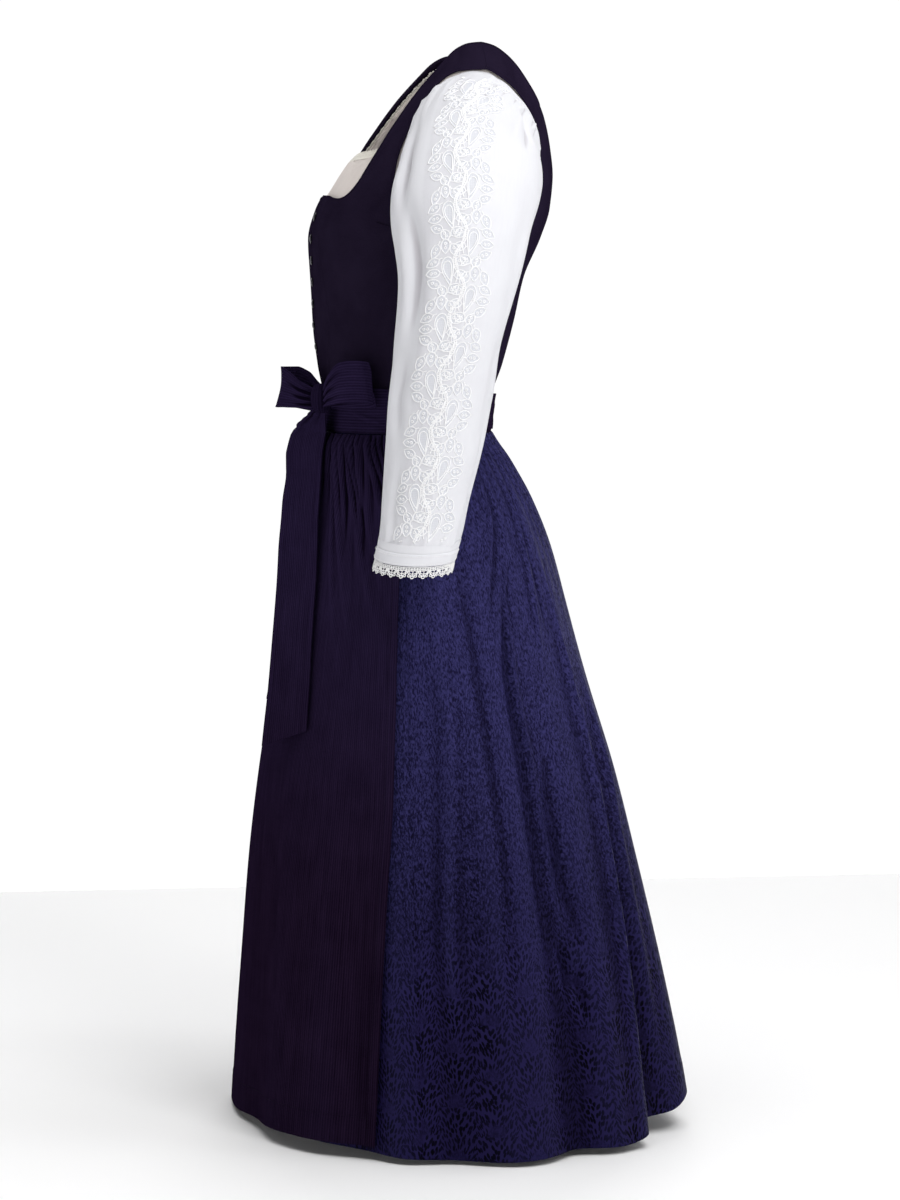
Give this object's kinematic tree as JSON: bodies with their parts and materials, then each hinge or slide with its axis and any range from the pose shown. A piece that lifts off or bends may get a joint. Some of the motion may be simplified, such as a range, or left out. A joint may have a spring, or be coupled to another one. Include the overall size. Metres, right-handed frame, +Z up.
{
  "type": "dirndl dress with apron and blouse",
  "caption": "Dirndl set on a general figure: fitted sleeveless bodice with gathered jacquard skirt, waist apron tied in a bow, and embroidered long-sleeved blouse.",
  "frame": {"origin": "midway between the shoulders, at the height of the strap crests, where the set is held", "axes": "+Z up, the wearer faces -Y, +X is the wearer's left"},
  "size_m": [0.6124, 0.4807, 1.1065],
  "materials": {
    "bodice_cloth": "dark aubergine matte weave",
    "skirt_cloth": "navy blue jacquard with a soft sheen",
    "apron_cloth": "dark aubergine satin with a low sheen",
    "blouse_cloth": "white cotton, embroidered down the sleeve",
    "lace": "cream crochet lace",
    "button": "dark, softly glossy"
  },
  "bodies": {
    "root": {"apron_bow_knot": "apron_cloth", "apron_bow_loop_left": "apron_cloth", "apron_bow_loop_right": "apron_cloth", "apron_panel": "apron_cloth", "apron_tail_left": "apron_cloth", "apron_tail_right": "apron_cloth", "apron_tie_left": "apron_cloth", "apron_tie_right": "apron_cloth", "apron_waistband": "apron_cloth", "blouse_back": "blouse_cloth", "blouse_front": "blouse_cloth", "bodice_back": "bodice_cloth", "bodice_front_left": "bodice_cloth", "bodice_front_right": "bodice_cloth", "bodice_side_back_left": "bodice_cloth", "bodice_side_back_right": "bodice_cloth", "bodice_side_front_left": "bodice_cloth", "bodice_side_front_right": "bodice_cloth", "cuff_band_left": "blouse_cloth", "cuff_band_right": "blouse_cloth", "cuff_lace_left": "lace", "cuff_lace_right": "lace", "front_button_1": "button", "front_button_2": "button", "front_button_3": "button", "front_button_4": "button", "front_button_5": "button", "front_button_6": "button", "front_button_7": "button", "neck_lace": "lace", "skirt_back_left": "skirt_cloth", "skirt_back_right": "skirt_cloth", "skirt_front": "skirt_cloth", "sleeve_left": "blouse_cloth", "sleeve_right": "blouse_cloth"}
  },
  "joints": []
}
